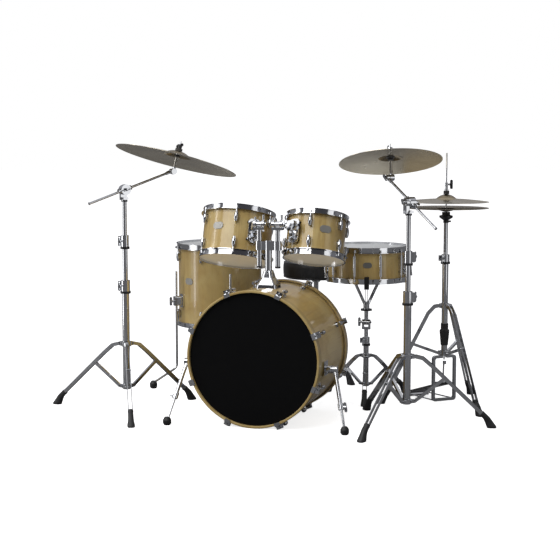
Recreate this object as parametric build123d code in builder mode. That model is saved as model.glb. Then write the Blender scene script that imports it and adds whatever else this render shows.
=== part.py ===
from build123d import *
from math import cos, radians, sin
import os

# A five-drum acoustic kit with its stands. +Z is up, the audience is towards -Y and the drummer sits
# towards +Y, facing -Y. Millimetres. The origin is on the floor under the middle of the whole kit.
os.makedirs("parts", exist_ok=True)

# ------------------------------------------------------------------ driving dimensions
bass_x, bass_y = 30.63, -464.19  # where the bass drum stands on the floor
bass_radius = 279.5
bass_depth = 432.0
bass_hoop_radius = 289.0
bass_hoop_depth = 38.0
bass_hoop_reach = 15.0  # how far a bass hoop stands past the end of the shell

tom_tilt = 17.5  # degrees that the rack toms lean towards the drummer
left_tom_radius, left_tom_depth = 151.5, 203.0
right_tom_radius, right_tom_depth = 126.5, 178.0
floor_tom_radius, floor_tom_depth = 202.5, 381.0
snare_radius, snare_depth = 177.0, 142.0

hoop_gap = 4.6  # between a drum's shell and the inside of its metal hoop
hoop_sheet = 2.3
hoop_height = 24.5
hoop_rise = 11.0  # how far a metal hoop stands past the end of its shell
rod_offset = 12.5  # from a drum's shell to the middle of its tension rods
rod_radius = 3.0

lower_tube, middle_tube, upper_tube = 16.0, 11.0, 9.5  # outer radii of a boom stand's tubes
boom_radius = 5.5
slide_fit = 0.05  # radial clearance of everything that slides or turns
side_gap = 0.3  # between the faces of pieces that move past each other
pin_radius = 5.0
leg_width = 15.0
leg_plate = 3.0
leg_space = 14.0  # between the two strips of a leg

ride_radius, crash_radius, hihat_radius = 275.0, 219.0, 190.0
cymbal_sheet = 1.5

tom_arm_ball_height = 837.0
tom_arm_x = 41.0
tom_arm_y = -10.0
tom_arm_radius = 11.0


# ------------------------------------------------------------------ places and helpers
def at(x, y, z=0.0):
    """The point x, y, z from the floor under the middle of the bass drum."""
    return Vector(bass_x + x, bass_y + y, z)


def heading(azimuth):
    """The level direction that makes the angle azimuth with +X."""
    return Vector(cos(radians(azimuth)), sin(radians(azimuth)), 0)


up = Vector(0, 0, 1)
tilted = Vector(0, sin(radians(tom_tilt)), cos(radians(tom_tilt)))

bass_frame = Plane(origin=at(0, 0, bass_hoop_radius), x_dir=(1, 0, 0), z_dir=(0, -1, 0))
left_tom_frame = Plane(origin=at(-199, 155, 767), x_dir=(1, 0, 0), z_dir=tilted)
right_tom_frame = Plane(origin=at(162, 155, 770.5), x_dir=(1, 0, 0), z_dir=tilted)
floor_tom_frame = Plane(origin=at(-490, 720, 490), x_dir=(1, 0, 0), z_dir=(0, 0, 1))
snare_frame = Plane(origin=at(289, 560, 629), x_dir=(1, 0, 0), z_dir=(0, 0, 1))
left_stand = at(-652, -41)
right_stand = at(600, 13)
snare_stand = at(289, 560)
hihat_stand = at(666, 500)
throne = at(-80, 1000)


def save(piece, name):
    """Labels a finished piece and writes its STEP file."""
    piece.part.label = name
    export_step(piece.part, f"parts/{name}.step")


def bar(start, end, radius, bore=0.0):
    """A round bar, or a tube with the given bore radius, from start to end."""
    run = end - start
    with BuildSketch(Plane(origin=start, z_dir=run)) as section:
        Circle(radius)
        if bore:
            Circle(bore, mode=Mode.SUBTRACT)
    extrude(section.sketch, amount=run.length)


def drill(start, end, radius):
    """A round hole from start to end."""
    run = end - start
    with BuildSketch(Plane(origin=start, z_dir=run)) as section:
        Circle(radius)
    extrude(section.sketch, amount=run.length, mode=Mode.SUBTRACT)


def turned(frame, profile, mode=Mode.ADD):
    """Turns a closed profile of (radius, height) points about the Z axis of frame."""
    with BuildSketch(Plane(origin=frame.origin, x_dir=frame.x_dir, z_dir=-frame.y_dir)) as section:
        with BuildLine():
            Polyline(*profile, close=True)
        make_face()
    revolve(section.sketch, axis=Axis(frame.origin, frame.z_dir), mode=mode)


def around(frame, angle, radius, height):
    """A plane on the side of a drum: Z points out, Y along the drum's axis."""
    out = frame.x_dir * cos(radians(angle)) + frame.y_dir * sin(radians(angle))
    return Plane(
        origin=frame.origin + out * radius + frame.z_dir * height,
        x_dir=frame.z_dir.cross(out),
        z_dir=out,
    )


def side_plane(foot, azimuth):
    """The upright plane through foot: X points out along azimuth and Y points up."""
    out = heading(azimuth)
    return Plane(origin=foot, x_dir=out, z_dir=out.cross(up))


def bars(starts, radius, length):
    """Equal round bars, each standing on one of the planes in starts."""
    with BuildSketch(*starts) as sections:
        Circle(radius)
    extrude(sections.sketch, amount=length)


def plate(plane, points, thickness):
    """A plate with the given outline, half of its thickness on each side of plane."""
    with BuildSketch(plane) as outline:
        with BuildLine():
            Polyline(*points, close=True)
        make_face()
    extrude(outline.sketch, amount=thickness / 2, both=True)


def strips(plane, path, width, space, thickness):
    """Two strips that follow path, one on each side of plane."""
    with BuildSketch(plane.offset(space / 2), plane.offset(-space / 2 - thickness)) as outline:
        with BuildLine():
            Polyline(*path)
        trace(line_width=width)
    extrude(outline.sketch, amount=thickness, dir=plane.z_dir)


def wing_bolt(foot, out, wings, reach):
    """A wing bolt that stands on foot and points along out, its wings spread along wings."""
    hub = foot + out * reach
    bar(foot, hub, 3.5)
    bar(hub, hub + out * 12, 6.5)
    with BuildSketch(Plane(origin=hub + out * 8, x_dir=wings, z_dir=wings.cross(out))) as outline:
        SlotOverall(42, 12)
    extrude(outline.sketch, amount=1.8, both=True)


def clamp(foot, height, outer, bore, azimuth):
    """A stand's tube clamp: a collar on its ring, with a split ear and a wing bolt."""
    low = foot + up * 10
    bar(foot, low, outer + 3, bore)
    bar(low, foot + up * height, outer, bore)
    out = heading(azimuth)
    across = heading(azimuth + 90)
    middle = foot + up * (10 + (height - 10) / 2)
    ear = Plane(origin=middle + out * (outer + 6), x_dir=across, z_dir=out)
    with BuildSketch(ear.offset(-10)) as outline:
        Rectangle(18, height - 18)
    extrude(outline.sketch, amount=16)
    drill(foot - up, foot + up * (height + 1), bore)
    wing_bolt(middle + out * (outer + 2) + across * 8, across, up, 16)


# ------------------------------------------------------------------ bass drum
half_bass = bass_depth / 2
hoop_back = half_bass + bass_hoop_reach - bass_hoop_depth
hoop_front = half_bass + bass_hoop_reach
bass_rod_circle = 300.0
bass_angles = [22.5 + 45 * k for k in range(8)]
bass_ends = [bass_frame, Plane(origin=bass_frame.origin, x_dir=(-1, 0, 0), z_dir=(0, 1, 0))]
spur_height = 250.0
spur_feet = {"left": at(-365, -270), "right": at(395, -222)}
spur_sides = {"left": -1, "right": 1}
spur_disc = 316.0  # from the middle of the drum to where the spurs turn

with BuildPart() as bass_shell:
    turned(
        bass_frame,
        [
            (bass_radius - 8, -half_bass),
            (bass_radius, -half_bass),
            (bass_radius, half_bass),
            (bass_radius - 8, half_bass),
        ],
    )
save(bass_shell, "bass_shell")

with BuildPart() as bass_hoops:
    for end in bass_ends:
        turned(
            end,
            [
                (283.2, hoop_back),
                (bass_hoop_radius - 2, hoop_back),
                (bass_hoop_radius, hoop_back + 2),
                (bass_hoop_radius, hoop_front - 2),
                (bass_hoop_radius - 2, hoop_front),
                (281.0, hoop_front),
                (279.0, hoop_front - 2),
                (279.0, half_bass + 2),
                (283.2, half_bass + 2),
            ],
        )
save(bass_hoops, "bass_hoops")

for name, end in zip(["bass_front_head", "bass_batter_head"], bass_ends):
    with BuildPart() as bass_head:
        turned(
            end,
            [
                (0, half_bass + 0.1),
                (bass_radius + 0.4, half_bass + 0.1),
                (bass_radius + 0.4, half_bass - 12),
                (bass_radius + 3.2, half_bass - 12),
                (bass_radius + 3.2, half_bass + 1.5),
                (0, half_bass + 1.5),
            ],
        )
    save(bass_head, name)

rod_height = bass_rod_circle - bass_radius
claw_top = hoop_front - 9.7

# One lug: X across, Y along the drum and Z out of the shell, which its foot follows.
with BuildPart() as bass_lug:
    with BuildSketch(Plane.XY.offset(-2)):
        SlotOverall(40, 22, rotation=90)
    extrude(amount=7)
    with Locations(Plane(origin=(0, 0, -bass_radius - 0.1), z_dir=(0, 1, 0))):
        Cylinder(bass_radius + 0.2, 80, mode=Mode.SUBTRACT)
    bar(Vector(0, 0, 3), Vector(0, 0, rod_height - 4), 7)
    turned(
        Plane(origin=(0, -17, rod_height), x_dir=(1, 0, 0), z_dir=(0, 1, 0)),
        [(3.7, 0), (6.5, 0), (9, 6), (10, 17), (9, 28), (6.5, 34), (3.7, 34)],
    )

# One claw: it hooks over the front of its hoop and carries the rod outside it.
hook = bass_hoop_radius - bass_radius + 0.3
with BuildPart() as bass_claw:
    plate(
        Plane(origin=(0, 0, 0), x_dir=(0, 0, 1), z_dir=(1, 0, 0)),
        [
            (-1.5, hoop_front + 0.3),
            (-1.5, hoop_front + 3.5),
            (hook + 3, hoop_front + 3.5),
            (hook + 6, hoop_front - 8),
            (rod_height + 8, hoop_front - 10),
            (rod_height + 8, hoop_front - 26),
            (hook, hoop_front - 26),
            (hook, hoop_front + 0.3),
        ],
        26,
    )
    drill(Vector(0, 180, rod_height), Vector(0, 240, rod_height), 3.7)

with BuildPart() as bass_lugs_and_claws:
    sides = [around(end, angle, bass_radius, 0) for end in bass_ends for angle in bass_angles]
    with Locations(*[Plane(origin=s.origin + s.y_dir * 138, x_dir=s.x_dir, z_dir=s.z_dir) for s in sides]):
        add(bass_lug.part)
    with Locations(*sides):
        add(bass_claw.part)
    rods = [Plane(origin=s.origin + s.z_dir * rod_height, z_dir=s.y_dir) for s in sides]
    bars([rod.offset(120) for rod in rods], 3.4, claw_top - 120)
    bars([rod.offset(claw_top) for rod in rods], 5.2, 8.7)
    # The two castings that the spurs turn on.
    for side in spur_sides.values():
        hinge_end = at(side * (spur_disc - side_gap), -130, spur_height)
        foot = at(side * 262, -130, spur_height)
        with BuildPart(mode=Mode.PRIVATE) as spur_casting:
            bar(foot, hinge_end, 17)
            with Locations(Plane(origin=at(side * 282, -130, spur_height + 4), z_dir=(1, 0, 0))):
                Box(60, 58, 16)
            with Locations(bass_frame):
                Cylinder(bass_radius + 0.1, 330, mode=Mode.SUBTRACT)
            drill(foot, hinge_end + Vector(side, 0, 0), pin_radius + slide_fit)
        add(spur_casting.part)
save(bass_lugs_and_claws, "bass_lugs_and_claws")

for name, foot in spur_feet.items():
    side = Vector(spur_sides[name], 0, 0)
    hub = at(spur_sides[name] * spur_disc, -130, spur_height)
    knee = hub + side * 11
    foot_ball = foot + up * 17
    run = (foot_ball - knee).normalized()
    joint = knee + run * 160
    with BuildPart() as spur:
        bar(hub, hub + side * 22, 15)
        bar(hub - side * 26, hub + side * 2, pin_radius)
        bar(knee, joint, 8.5)
        bar(joint - run * 14, joint + run * 12, 12)
        bar(joint, foot_ball - run * 8, 5.5)
        wing_bolt(joint + side * 8, side, run, 3)
        turned(
            Plane(origin=foot_ball, x_dir=(1, 0, 0), z_dir=up),
            [(0, -17), (12, -17), (18, -9), (18, 5), (11, 17), (0, 19)],
        )
    save(spur, f"bass_spur_{name}")

# ------------------------------------------------------------------ tom holder and its two arms
tom_arms = {"left": -1, "right": 1}
block_low, block_high = 727.0, 765.0

with BuildPart() as tom_holder:
    saddle = Plane(origin=at(0, tom_arm_y, 560), x_dir=(1, 0, 0), z_dir=up)
    with BuildSketch(saddle):
        RectangleRounded(92, 92, 14)
    with BuildSketch(saddle.offset(22)):
        RectangleRounded(84, 84, 14)
    with BuildSketch(saddle.offset(50)):
        RectangleRounded(52, 56, 12)
    with BuildSketch(saddle.offset(80)):
        RectangleRounded(38, 38, 12)
    loft(ruled=True)
    with Locations(bass_frame):
        Cylinder(bass_radius + 0.1, 330, mode=Mode.SUBTRACT)
    bar(at(0, tom_arm_y, 632), at(0, tom_arm_y, block_high + 3), 15)
    block = Plane(origin=at(0, tom_arm_y, block_low), x_dir=(1, 0, 0), z_dir=up)
    with BuildSketch(block):
        Rectangle(2 * tom_arm_x, 26)
        with Locations((-tom_arm_x, 0), (tom_arm_x, 0)):
            Circle(18)
    extrude(amount=block_high - block_low)
    for side in tom_arms.values():
        axis = at(side * tom_arm_x, tom_arm_y)
        drill(axis + up * 700, axis + up * 800, tom_arm_radius + slide_fit)
        clamp_bolt = axis + up * (block_low + 19) + Vector(0, 14, 0)
        wing_bolt(clamp_bolt, Vector(0, 1, 0), Vector(1, 0, 0), 14)
save(tom_holder, "tom_holder")

for name, side in tom_arms.items():
    axis = at(side * tom_arm_x, tom_arm_y)
    ball = axis + up * tom_arm_ball_height
    with BuildPart() as tom_arm:
        bar(axis + up * 658, ball - up * 18, tom_arm_radius)
        bar(axis + up * 650, axis + up * 658, tom_arm_radius + 1)
        # The clamp round the ball: a fork whose cheeks hold the ball's pin.
        for cheek in [-1, 1]:
            face = Vector(cheek, 0, 0)
            bar(ball + face * 12.3, ball + face * 24, 17)
        with Locations(Plane(origin=ball - up * 19, z_dir=up)):
            Box(48, 30, 10)
        bar(ball + Vector(18, 0, 14), ball + Vector(18, 0, 40), 5)
        bar(ball + Vector(-18, 0, 14), ball + Vector(-18, 0, 30), 5)
        drill(ball - Vector(40, 0, 0), ball + Vector(40, 0, 0), pin_radius + slide_fit)
        bar(ball + Vector(24, 0, 0), ball + Vector(30, 0, 0), 9)
    save(tom_arm, f"tom_arm_{name}")


# ------------------------------------------------------------------ metal-hooped drums
def drum_ends(frame):
    """The frames of a drum's top and bottom, each with Z pointing out of the drum."""
    return [frame, Plane(origin=frame.origin, x_dir=frame.x_dir, z_dir=-frame.z_dir)]


def drum_shell(name, frame, radius, depth, wall):
    """A drum's wooden shell, with its vent hole."""
    with BuildPart() as shell:
        turned(
            frame,
            [
                (radius - wall, -depth / 2),
                (radius, -depth / 2),
                (radius, depth / 2),
                (radius - wall, depth / 2),
            ],
        )
    save(shell, f"{name}_shell")


def drum_hoops(name, frame, radius, depth, angles):
    """The two triple-flanged hoops, drilled for the tension rods."""
    inside = radius + hoop_gap
    top = depth / 2 + hoop_rise
    low = top - hoop_height
    with BuildPart() as hoops:
        for end in drum_ends(frame):
            turned(
                end,
                [
                    (inside, top - 1.5),
                    (inside + 1, top),
                    (inside + 6, top),
                    (inside + 6, top - hoop_sheet),
                    (inside + hoop_sheet, top - hoop_sheet),
                    (inside + hoop_sheet, low + hoop_sheet),
                    (inside + 12.5, low + hoop_sheet),
                    (inside + 12.5, low),
                    (inside, low),
                ],
            )
        for angle in angles:
            rod = around(frame, angle, radius + rod_offset, 0)
            for way in [1, -1]:
                start = rod.origin + frame.z_dir * way * (low - 1)
                drill(start, start + frame.z_dir * way * (hoop_sheet + 2), rod_radius + 0.4)
    save(hoops, f"{name}_hoops")


def drum_heads(name, frame, radius, depth):
    """The batter and resonant heads, each a film on its flesh hoop."""
    edge = depth / 2
    with BuildPart() as heads:
        for end in drum_ends(frame):
            turned(
                end,
                [
                    (0, edge + 0.1),
                    (radius + 0.4, edge + 0.1),
                    (radius + 0.4, edge - 8),
                    (radius + hoop_gap - 0.4, edge - 8),
                    (radius + hoop_gap - 0.4, edge + 1),
                    (0, edge + 1),
                ],
            )
    save(heads, f"{name}_heads")


def tension_rods(frame, radius, depth, angles, reach):
    """Rods with their washers and square heads, from each hoop into its lug."""
    flange = depth / 2 + hoop_rise - hoop_height + hoop_sheet + 0.1
    rods = []
    for way in [1, -1]:
        for angle in angles:
            side = around(frame, angle, radius + rod_offset, way * flange)
            rods.append(Plane(origin=side.origin, z_dir=frame.z_dir * way))
    bars([rod.offset(-reach) for rod in rods], rod_radius, reach)
    bars(rods, 5.0, 4)
    bars([rod.offset(4) for rod in rods], 3.6, 8)


def oval_lug(radius, length):
    """One small casting: X across, Y along the drum and Z out of the shell, bored for its rod."""
    half = length / 2
    with BuildPart() as lug:
        with BuildSketch(Plane.XY.offset(-2)) as foot:
            SlotOverall(length - 6, 14, rotation=90)
        extrude(foot.sketch, amount=7)
        with Locations(Plane(origin=(0, 0, -radius), z_dir=(0, 1, 0))):
            Cylinder(radius + 0.1, 90, mode=Mode.SUBTRACT)
        bar(Vector(0, 0, 3), Vector(0, 0, rod_offset - 4), 6)
        turned(
            Plane(origin=(0, 0, rod_offset), x_dir=(1, 0, 0), z_dir=(0, 1, 0)),
            [
                (rod_radius + 0.4, -half),
                (5.2, -half),
                (8.2, -half * 0.55),
                (9.6, 0),
                (8.2, half * 0.55),
                (5.2, half),
                (rod_radius + 0.4, half),
            ],
        )
    return lug.part


def oval_lugs(frame, radius, angles, heights, length):
    """A lug for every angle and height on the shell."""
    lug = oval_lug(radius, length)
    with Locations(*[around(frame, angle, radius, height) for angle in angles for height in heights]):
        add(lug)


def badge(frame, angle, radius, height, width):
    """A plain oval badge on the shell."""
    with BuildPart(mode=Mode.PRIVATE) as oval:
        with BuildSketch(around(frame, angle, radius - 3, height)) as outline:
            SlotOverall(width, width * 0.62)
        extrude(outline.sketch, amount=4.8)
        with Locations(frame):
            Cylinder(radius + 0.1, 90, mode=Mode.SUBTRACT)
    add(oval.part)


# ------------------------------------------------------------------ rack toms
tom_shapes = {
    "left": (left_tom_frame, left_tom_radius, left_tom_depth),
    "right": (right_tom_frame, right_tom_radius, right_tom_depth),
}
tom_sides = {"left": (-75.0, -46.0, -105.0), "right": (-86.5, -117.0, -56.5)}  # first lug, mount, badge

for name, (frame, radius, depth) in tom_shapes.items():
    first_lug, mount_angle, badge_angle = tom_sides[name]
    tom_lug_angles = [first_lug + 60 * k for k in range(6)]
    drum_shell(f"{name}_tom", frame, radius, depth, 6.5)
    drum_hoops(f"{name}_tom", frame, radius, depth, tom_lug_angles)
    drum_heads(f"{name}_tom", frame, radius, depth)
    lug_height = depth / 2 - 46
    with BuildPart() as tom_lugs:
        badge(frame, badge_angle, radius, 15, 50)
        oval_lugs(frame, radius, tom_lug_angles, [lug_height, -lug_height], 44)
        tension_rods(frame, radius, depth, tom_lug_angles, 50)
    save(tom_lugs, f"{name}_tom_lugs")
    # The mount: a plate that stands off the shell on grommets, its clamp, the hexagonal rod and its ball.
    ball = at(tom_arms[name] * tom_arm_x, tom_arm_y, tom_arm_ball_height)
    with BuildPart() as tom_mount:
        root = around(frame, mount_angle, radius, 18)
        grommets = [
            around(frame, mount_angle + turn, radius - 3, height) for turn in [-8, 8] for height in [-38, 38]
        ]
        with BuildSketch(*grommets):
            Circle(6)
        extrude(amount=16)
        with BuildSketch(around(frame, mount_angle, radius + 10, 0)):
            RectangleRounded(52, 104, 14)
        extrude(amount=5)
        with BuildSketch(around(frame, mount_angle, radius + 14, 18)):
            RectangleRounded(40, 44, 8)
        extrude(amount=26)
        with Locations(frame):
            Cylinder(radius + 0.1, 120, mode=Mode.SUBTRACT)
        # The rod leaves the ball square to its pin, then turns towards the clamp.
        elbow = ball + Vector(0, 36, -8)
        clamp_face = root.origin + root.z_dir * 24
        for start, finish in [(ball, elbow), (elbow, clamp_face)]:
            with BuildSketch(Plane(origin=start, z_dir=finish - start)):
                RegularPolygon(5.5, 6)
            extrude(amount=(finish - start).length)
        with Locations(elbow):
            Sphere(6.5)
        bar(ball - Vector(12, 0, 0), ball + Vector(12, 0, 0), 12)
        bar(ball - Vector(23, 0, 0), ball + Vector(23, 0, 0), pin_radius)
        bolt_foot = root.origin + root.z_dir * 28 + root.x_dir * 18
        wing_bolt(bolt_foot, root.x_dir, root.y_dir, 10)
    save(tom_mount, f"{name}_tom_mount")

# ------------------------------------------------------------------ floor tom
floor_lug_angles = [40 + 45 * k for k in range(8)]
floor_leg_angles = [227, 302, 84]
leg_radius = 5.5
leg_bracket_height = -74.0
leg_circle = floor_tom_radius + 34
leg_foot_circle = 362.0

drum_shell("floor_tom", floor_tom_frame, floor_tom_radius, floor_tom_depth, 7)
drum_hoops("floor_tom", floor_tom_frame, floor_tom_radius, floor_tom_depth, floor_lug_angles)
drum_heads("floor_tom", floor_tom_frame, floor_tom_radius, floor_tom_depth)
with BuildPart() as floor_tom_lugs:
    badge(floor_tom_frame, 243, floor_tom_radius, 24, 50)
    lug_height = floor_tom_depth / 2 - 50
    oval_lugs(floor_tom_frame, floor_tom_radius, floor_lug_angles, [lug_height, -lug_height], 48)
    tension_rods(floor_tom_frame, floor_tom_radius, floor_tom_depth, floor_lug_angles, 54)
    for angle in floor_leg_angles:
        foot = around(floor_tom_frame, angle, floor_tom_radius - 4, leg_bracket_height)
        rod = around(floor_tom_frame, angle, leg_circle, 0).origin
        with BuildPart(mode=Mode.PRIVATE) as leg_bracket:
            with BuildSketch(foot):
                RectangleRounded(34, 66, 8)
            extrude(amount=12)
            with BuildSketch(foot):
                RectangleRounded(24, 46, 6)
            extrude(amount=50)
            with Locations(floor_tom_frame):
                Cylinder(floor_tom_radius + 0.1, 300, mode=Mode.SUBTRACT)
            drill(rod - up * 120, rod + up * 80, leg_radius + slide_fit)
            wing_bolt(rod + up * leg_bracket_height + heading(angle) * 10, heading(angle), up, 12)
        add(leg_bracket.part)
save(floor_tom_lugs, "floor_tom_lugs")

with BuildPart() as floor_tom_legs:
    for angle in floor_leg_angles:
        plane = side_plane(floor_tom_frame.origin - up * floor_tom_frame.origin.Z, angle)
        with BuildLine(plane):
            FilletPolyline((leg_circle, 560), (leg_circle, 92), (leg_foot_circle - 3, 28), radius=30)
        with BuildSketch(Plane(origin=plane.from_local_coords((leg_circle, 560, 0)), z_dir=(0, 0, -1))):
            Circle(leg_radius)
        sweep()
        foot_frame = Plane(origin=plane.from_local_coords((leg_foot_circle, 0, 0)))
        turned(foot_frame, [(0, 0), (13, 0), (18, 8), (18, 24), (11, 36), (0, 36)])
save(floor_tom_legs, "floor_tom_legs")

# ------------------------------------------------------------------ snare drum
snare_lug_angles = [-93 + 36 * k for k in range(10)]
strainer_angle = -3
butt_angle = 177
lever_pivot = around(snare_frame, strainer_angle, snare_radius + 26, 8)

drum_shell("snare", snare_frame, snare_radius, snare_depth, 6.5)
drum_hoops("snare", snare_frame, snare_radius, snare_depth, snare_lug_angles)
drum_heads("snare", snare_frame, snare_radius, snare_depth)
with BuildPart() as snare_lugs:
    badge(snare_frame, -75, snare_radius, 4, 40)
    tubes = [around(snare_frame, angle, snare_radius + rod_offset, -46) for angle in snare_lug_angles]
    with BuildSketch(*[Plane(origin=tube.origin, z_dir=up) for tube in tubes]):
        Circle(6.2)
        Circle(rod_radius + 0.4, mode=Mode.SUBTRACT)
    extrude(amount=92)
    for height in [-30, 30]:
        bars([around(snare_frame, angle, snare_radius + 0.1, height) for angle in snare_lug_angles], 5, 8)
    for angle, width in [(strainer_angle, 30), (butt_angle, 26)]:
        with BuildPart(mode=Mode.PRIVATE) as casting:
            with BuildSketch(around(snare_frame, angle, snare_radius - 3, -4)):
                RectangleRounded(width, 84, 6)
            extrude(amount=17)
            with Locations(snare_frame):
                Cylinder(snare_radius + 0.1, 120, mode=Mode.SUBTRACT)
        add(casting.part)
    for way in [-1, 1]:
        ear = lever_pivot.origin + lever_pivot.x_dir * way * 12
        with Locations(Plane(origin=ear - lever_pivot.z_dir * 6, x_dir=lever_pivot.x_dir, z_dir=up)):
            Box(5, 26, 18)
    reach = lever_pivot.x_dir * 20
    drill(lever_pivot.origin - reach, lever_pivot.origin + reach, 3 + slide_fit)
    tension_rods(snare_frame, snare_radius, snare_depth, snare_lug_angles, 34)
save(snare_lugs, "snare_lugs")

with BuildPart() as snare_lever:
    reach = lever_pivot.x_dir * 14
    bar(lever_pivot.origin - reach, lever_pivot.origin + reach, 3)
    half = lever_pivot.x_dir * 9
    bar(lever_pivot.origin - half, lever_pivot.origin + half, 7)
    lever = Plane(origin=lever_pivot.origin, x_dir=lever_pivot.z_dir, z_dir=lever_pivot.x_dir)
    plate(lever, [(-2, 0), (-1, 40), (6, 58), (13, 60), (11, 44), (7, 0)], 14)
save(snare_lever, "snare_lever")

with BuildPart() as snare_wires:
    level = -snare_depth / 2 - 2.8
    for k in range(12):
        offset = (k - 5.5) * 3.4
        start = snare_frame.origin + Vector(-165, offset, level)
        with Locations(Plane(origin=start + Vector(165, 0, 0), z_dir=(0, 0, 1))):
            Box(330, 1.4, 1.4)
    for way in [-1, 1]:
        with Locations(Plane(origin=snare_frame.origin + Vector(way * 166, 0, level), z_dir=(0, 0, 1))):
            Box(10, 46, 2.6)
save(snare_wires, "snare_wires")


# ------------------------------------------------------------------ tripods
def rubber_foot(plane, knee, ankle, reach):
    """The rubber boot on a leg that runs from knee to ankle, standing on the floor at reach."""
    run = (Vector(*ankle) - Vector(*knee)).normalized()
    side = Vector(-run.Y, run.X)
    back = Vector(*ankle) - side * 12
    front = Vector(*ankle) + side * 12
    plate(
        plane,
        [
            (back.X, back.Y),
            (reach - 22, 7),
            (reach - 20, 0),
            (reach + 19, 0),
            (reach + 21, 8),
            (reach - 12, 52),
            (front.X, front.Y),
        ],
        33,
    )


def leg(plane, path, width):
    """A double-strip leg, pinned at its upper end."""
    strips(plane, path, width, leg_space, leg_plate)
    pin = plane.from_local_coords((path[0][0], path[0][1], 0))
    half = plane.z_dir * (leg_space / 2 + leg_plate + 2)
    bar(pin - half, pin + half, 4)


def brace(plane, inner, outer, width):
    """A flat brace between the strips of a leg, pinned at both ends."""
    start = Vector(*inner)
    end = Vector(*outer)
    with BuildSketch(plane) as outline:
        with BuildLine():
            Line(start, end)
        trace(line_width=width)
        with Locations(start, end):
            Circle(width / 2)
    extrude(outline.sketch, amount=leg_space / 2 - 1, both=True)
    for point in [start, end]:
        pin = plane.from_local_coords((point.X, point.Y, 0))
        half = plane.z_dir * (leg_space / 2 + leg_plate + 2)
        bar(pin - half, pin + half, 4)


def hub(foot, azimuths, low, height, tube, ear_reach):
    """A collar on the tube with an ear for each leg or brace."""
    bar(foot + up * low, foot + up * (low + height), tube + 5)
    top = low + height - 1
    tip = (ear_reach + 7, low + height / 2)
    for azimuth in azimuths:
        points = [(0, low + 1), (ear_reach, low + 1), tip, (ear_reach, top), (0, top)]
        plate(side_plane(foot, azimuth), points, leg_space - 2)


# Each tripod: where it stands, its legs' azimuths, the knee and ankle of a leg and its reach.
tripods = {
    "left": (left_stand, [177, 297, 57], (108, 253), (322, 51), 354),
    "right": (right_stand, [252, 12, 132], (108, 253), (322, 51), 354),
    "snare": (snare_stand, [162, 282, 42], (78, 162), (184, 51), 216),
    "hihat": (hihat_stand, [194, 314, 74], (74, 416), (254, 51), 285),
    "throne": (throne, [-37.4, 82.6, 202.6], (92, 238), (258, 51), 290),
}
with BuildPart() as stand_feet:
    for foot, azimuths, knee, ankle, reach in tripods.values():
        for azimuth in azimuths:
            rubber_foot(side_plane(foot, azimuth), knee, ankle, reach)
save(stand_feet, "stand_feet")


def leg_path(name, shoulder):
    """A leg from its shoulder points to just short of its rubber foot."""
    knee, ankle = tripods[name][2:4]
    run = (Vector(*ankle) - Vector(*knee)).normalized()
    return [*shoulder, knee, (ankle[0] - 0.2 * run.X, ankle[1] - 0.2 * run.Y)]


# ------------------------------------------------------------------ boom stands
clamp_one, clamp_two, tilter_base = 521.0, 717.0, 924.0
tilter_height = 977.0
cheek_radius = 20.0
tilter_half = 10.0

boom_stands = {
    "left": {
        "foot": left_stand,
        "drop": 0.0,
        "crown": at(-477, 159.5, 1142.8),
        "lean": Vector(0.178, 0.214, 0.960),
        "post": 94.6,
        "bolts": 195,
    },
    "right": {
        "foot": right_stand,
        "drop": 40.0,
        "crown": at(487, 158.5, 1132.7),
        "lean": Vector(-0.116, 0.249, 0.962),
        "post": 102.0,
        "bolts": -10,
    },
}


def boom_geometry(stand):
    """Where a boom turns, starts and ends, its run, the level hinge line, the post's foot and its lean."""
    normal = stand["lean"].normalized()
    turn = stand["foot"] + up * (tilter_height - stand["drop"])
    foot = stand["crown"] - normal * stand["post"]
    level = Vector(foot.X - turn.X, foot.Y - turn.Y, 0).normalized()
    hinge = level.cross(up)
    seat = foot - hinge * tilter_half
    start = turn + hinge * 10.5
    end = seat - hinge * 8.5
    return turn, start, end, (end - start).normalized(), hinge, normal, seat


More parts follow.
